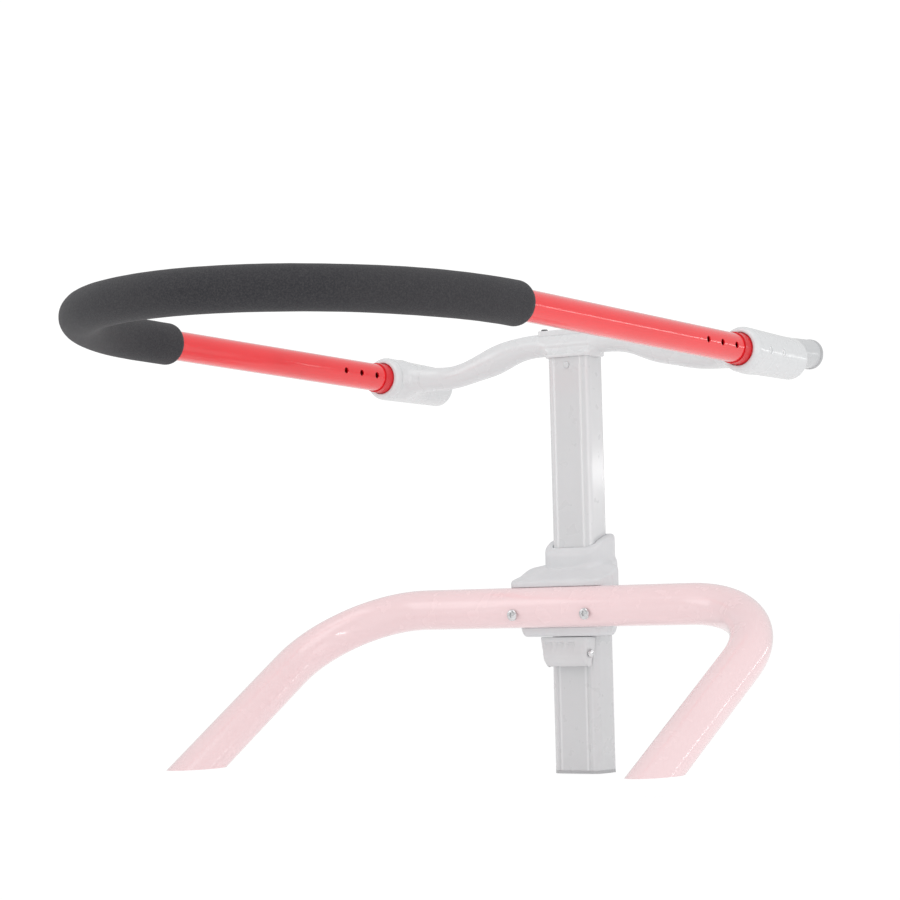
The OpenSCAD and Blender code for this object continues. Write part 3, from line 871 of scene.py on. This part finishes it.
# ---------------------------------------------------------------- collar
SCREW_XS = (-37.0, 49.0)
SCREW_Z = 158.0
# each profile: Y stations, then the top's Z
COLLAR_TOP = ((-49.6, -22.0, -12.0, 0.0), (191.0, 203.0, 207.5, 209.0))
NECK_TOP = ((-22.0, -17.0, -6.0, 6.0, 16.0, 22.0), (218.5, 223.5, 230.5, 235.0, 237.0, 235.0))


def collar_plan(x, y, half_width, front):
    """round of the column joined to a wider block in front of it by sloping sides"""
    column = rounded_rect(x, y, 34.0, 23.0, 14.0)
    middle = (front - 8.0) / 2
    block = rounded_rect(x, y - middle, half_width, -8.0 - middle, 9.0)
    run = half_width - 33.5
    flank = ((np.abs(x) - half_width) * 23.0 + (y + 17.0) * run) / math.hypot(23.0, run)
    web = np.maximum(np.maximum(flank, np.abs(x) - half_width + 0.3),
                     np.maximum(-(y + 24.0), y - 6.0))
    return smooth_min(smooth_min(column, block, 5.0), web, 3.0)


def collar_body(x, y, z):
    """block round the frame tube, with a narrower lip and a core below it"""
    wing = np.clip((np.abs(x) - 33.0) / 21.5, 0, 1)
    top = np.interp(y, *COLLAR_TOP) - 3.5 * wing * np.clip((y + 49.6) / 20.0, 0, 1)
    body = smooth_max(collar_plan(x, y, 54.5, -49.6), (z - top) * 0.88, 3.2)
    # the underside is higher in front than behind
    under = np.minimum(np.maximum(-26.0 - y, 146.0 - z), 165.0 - z)
    body = smooth_max(body, under, 0.8)
    narrowing = np.clip((146.5 - z) / 10.5, 0, 1)
    lip = smooth_max(collar_plan(x, y, 48.0, -44.0) + 3.2 * narrowing,
                     np.abs(z - 141.9) - 6.0, 4.5)
    core = smooth_max(rounded_rect(x, y, 34.0, 23.0, 14.0) + 4.2 * narrowing,
                      np.abs(z - 160.0) - 24.0, 1.2)
    return np.minimum(np.minimum(body, lip), core)


def collar_field(points):
    x, y, z = xyz(points)
    neck = smooth_max(rounded_rect(x, y, 33.3, 22.0, 13.0),
                      (z - np.interp(y, *NECK_TOP)) * 0.9, 4.5)
    neck = np.maximum(neck, 190.0 - z)
    fillet = 1.5 + 5.0 * np.clip((x - 5.0) / 20.0, 0, 1)   # wider on the right
    solid = smooth_min(collar_body(x, y, z), neck, fillet)
    solid = cut(solid, np.hypot(y - YOKE_Y, z - YOKE_Z) - (YOKE_R + 0.12), 0.8)
    seat = np.maximum(rounded_rect(x, y, 27.6, 18.6, 9.1), z - 210.3)
    solid = np.maximum(solid, -seat)
    solid = cut(solid, rounded_rect(x, y, 24.6, 15.55, 6.4), 1.6)
    # screw holes from the front run into hexagonal pockets that open at the back
    for screw_x in SCREW_XS:
        hole = np.maximum(np.hypot(x - screw_x, z - SCREW_Z) - 3.2, y - 10.0)
        across, rise = np.abs(x - screw_x), np.abs(z - SCREW_Z)
        hexagon = np.maximum(across, across * 0.5 + rise * 0.866) - 5.11
        pocket = np.maximum(hexagon, -21.5 - y)
        solid = np.maximum(solid, -np.minimum(hole, pocket))
    return solid


# ---------------------------------------------------------------- latch lever
PIVOT_Y, PIVOT_Z = -27.7, 118.6
LEVER_BOTTOM, LEVER_INNER = 105.0, 23.4        # lowest Z, half width of the hollow
# each profile: Z stations, then the value there; depths are forwards, along -Y
LEVER_FRONT = ((105.0, 106.5, 108.5, 111.0, 114.0, 118.0, 124.0, 133.0),
               (25.6, 27.6, 29.7, 31.6, 33.2, 34.1, 34.7, 35.2))
LEVER_HALF_WIDTH = ((105.0, 106.5, 109.0, 114.0, 126.0, 134.0),
                    (23.9, 24.8, 25.3, 26.2, 28.0, 28.8))
LEVER_ROUNDING = ((105.0, 112.0, 122.0), (2.0, 3.5, 7.0))
LEVER_BACK = ((105.0, 113.0, 119.0), (22.6, 22.2, 19.4))
HOLLOW_FRONT = ((105.0, 106.0, 108.0, 114.0, 119.0), (24.4, 25.4, 28.1, 31.9, 31.65))
GROOVE_FLOOR_Y = ((118.5, 130.0), (-35.4, -32.7))   # deepest at the top of the groove


def lever_field(points):
    x, y, z = xyz(points)
    solid = smooth_max((-y - np.interp(z, *LEVER_FRONT)) * 0.9,
                       (np.abs(x) - np.interp(z, *LEVER_HALF_WIDTH)) * 0.9,
                       np.interp(z, *LEVER_ROUNDING))
    solid = smooth_max(solid, y + np.interp(z, *LEVER_BACK), 0.8)
    solid = smooth_max(solid, z - (135.3 - 0.14 * np.maximum(y - PIVOT_Y, 0)), 0.8)
    solid = smooth_max(solid, LEVER_BOTTOM - z, 1.6)
    # hollow round the housing: closed at the front, and at the top in front of Y = -27.4
    inside = np.abs(x) - LEVER_INNER
    hollow = np.maximum(np.maximum(inside, -np.interp(z, *HOLLOW_FRONT) - y), z - 133.4)
    hollow = np.minimum(hollow, np.maximum(inside, -27.4 - y))
    solid = cut(solid, hollow, 0.3)
    # three leaning grooves in the front face
    for i in (-1, 0, 1):
        across = x + 4.6 - 13.0 * i - (z - 124.4) * 0.16
        groove = smooth_max(np.abs(across) - 4.5, z - 130.0, 1.5)
        groove = smooth_max(groove, y - np.interp(z, *GROOVE_FLOOR_Y), 1.5)
        solid = cut(solid, groove, 1.2)
    return cut(solid, np.hypot(y - PIVOT_Y, z - PIVOT_Z) - 2.6, 0.4)


# ---------------------------------------------------------------- build the pieces
build_foam()
build_loop_tube()
build_yoke()
CELL = 0.85
field_piece("crossbar_weldment", bar_field, (-184, -32, 380), (184, 32, 445), CELL,
            "mast", ("crossbar", "saddle"), M_WHITE, bar_skin)
field_piece("right_sleeve_shell", sleeve_field(1), (178, -45, 374), (242, 98, 432), CELL,
            "mast", ("right_sleeve",), M_STUB_SLEEVE, sleeve_skin(1))
field_piece("left_sleeve_shell", sleeve_field(-1), (-242, -45, 374), (-178, 98, 432), CELL,
            "mast", ("left_sleeve",), M_SLEEVE, sleeve_skin(-1))
field_piece("collar_moulding", collar_field, (-58, -53, 132), (58, 27, 240), CELL,
            "frame", ("collar",), M_GREY)
field_piece("latch_lever_moulding", lever_field, (-31, -38, 103), (31, -17, 137), CELL * 0.55,
            "latch", ("latch_lever",), M_LATCH)


# ---------------------------------------------------------------- stage (metres)
def build_floor():
    """white floor that the camera sees as mostly plain light"""
    bpy.ops.mesh.primitive_plane_add(size=40, location=(0, 6, -0.001))
    floor = bpy.context.object
    floor.name = "studio_floor"
    material, tree, shader = new_material("studio_floor_white")
    surface_input = shader.outputs[0].links[0].to_socket
    set_inputs(shader, {"Base Color": (0.9, 0.9, 0.9, 1), "Roughness": 0.9,
                        "Specular IOR Level": 0.1, "Emission Color": (1, 1, 1, 1),
                        "Emission Strength": 0.15})
    glow = tree.nodes.new("ShaderNodeEmission")
    set_inputs(glow, {"Strength": 1.04})
    path = tree.nodes.new("ShaderNodeLightPath")
    share = tree.nodes.new("ShaderNodeMath")
    share.operation = "MULTIPLY"
    share.inputs[1].default_value = 0.9
    tree.links.new(path.outputs["Is Camera Ray"], share.inputs[0])
    blend = tree.nodes.new("ShaderNodeMixShader")
    for i, node in enumerate((share, shader, glow)):
        tree.links.new(node.outputs[0], blend.inputs[i])
    tree.links.new(blend.outputs[0], surface_input)
    floor.data.materials.append(material)


def build_world():
    """white surroundings, brighter to the camera than as lighting"""
    world = bpy.data.worlds.new("studio")
    world.use_nodes = True
    bpy.context.scene.world = world
    tree = world.node_tree
    tree.nodes.clear()
    output = tree.nodes.new("ShaderNodeOutputWorld")
    lighting = tree.nodes.new("ShaderNodeBackground")
    backdrop = tree.nodes.new("ShaderNodeBackground")
    path = tree.nodes.new("ShaderNodeLightPath")
    blend = tree.nodes.new("ShaderNodeMixShader")
    set_inputs(lighting, {"Color": (1, 1, 1, 1), "Strength": 0.73})
    set_inputs(backdrop, {"Color": (1, 1, 1, 1), "Strength": 1.05})
    tree.links.new(path.outputs["Is Camera Ray"], blend.inputs[0])
    tree.links.new(lighting.outputs[0], blend.inputs[1])
    tree.links.new(backdrop.outputs[0], blend.inputs[2])
    tree.links.new(blend.outputs[0], output.inputs[0])


def area(name, place, target, size, energy, size_y=None):
    light = bpy.data.lights.new(name, "AREA")
    light.energy = energy
    light.shape = "RECTANGLE" if size_y else "SQUARE"
    light.size = size
    if size_y:
        light.size_y = size_y
    obj = bpy.data.objects.new(name, light)
    bpy.context.scene.collection.objects.link(obj)
    obj.location = place
    aim = Vector(target) - Vector(place)
    obj.rotation_euler = aim.to_track_quat("-Z", "Y").to_euler()


def build_camera():
    data = bpy.data.cameras.new("camera")
    camera = bpy.data.objects.new("camera", data)
    bpy.context.scene.collection.objects.link(camera)
    data.sensor_width = 36.0
    data.lens = 118.57
    data.clip_end = 100
    azimuth, elevation, roll = math.radians(36.70), math.radians(-3.01), math.radians(-1.42)
    back = Vector((math.sin(azimuth) * math.cos(elevation),
                   -math.cos(azimuth) * math.cos(elevation), math.sin(elevation)))
    right = Vector((math.cos(azimuth), math.sin(azimuth), 0))
    up = right.cross(-back)
    rolled_right = math.cos(roll) * right + math.sin(roll) * up
    rolled_up = -math.sin(roll) * right + math.cos(roll) * up
    pose = Matrix((rolled_right, rolled_up, back)).transposed().to_4x4()
    pose.translation = Vector((1.66747, -2.450, 0.16873))
    camera.matrix_world = pose
    bpy.context.scene.camera = camera


build_floor()
build_world()
area("top_softbox", (0.3, -0.9, 2.4), target=(0, -0.2, 0.3), size=2.4, energy=14, size_y=1.6)
area("left_fill", (-2.2, -1.8, 1.2), target=(0, -0.2, 0.3), size=1.6, energy=9)
area("right_fill", (3.0, 0.0, 0.8), target=(0, 0, 0.3), size=1.6, energy=6.5)
area("right_strip", (2.4, -1.9, 0.5), target=(0, 0, 0.3), size=0.25, energy=12, size_y=1.8)
area("line_strip", (1.96, 2.24, 0.43), target=(0.2, -0.2, 0.41), size=2.4, energy=3.2,
     size_y=0.06)
build_camera()
bpy.context.scene.view_settings.view_transform = "Standard"
bpy.context.scene.view_settings.look = "None"
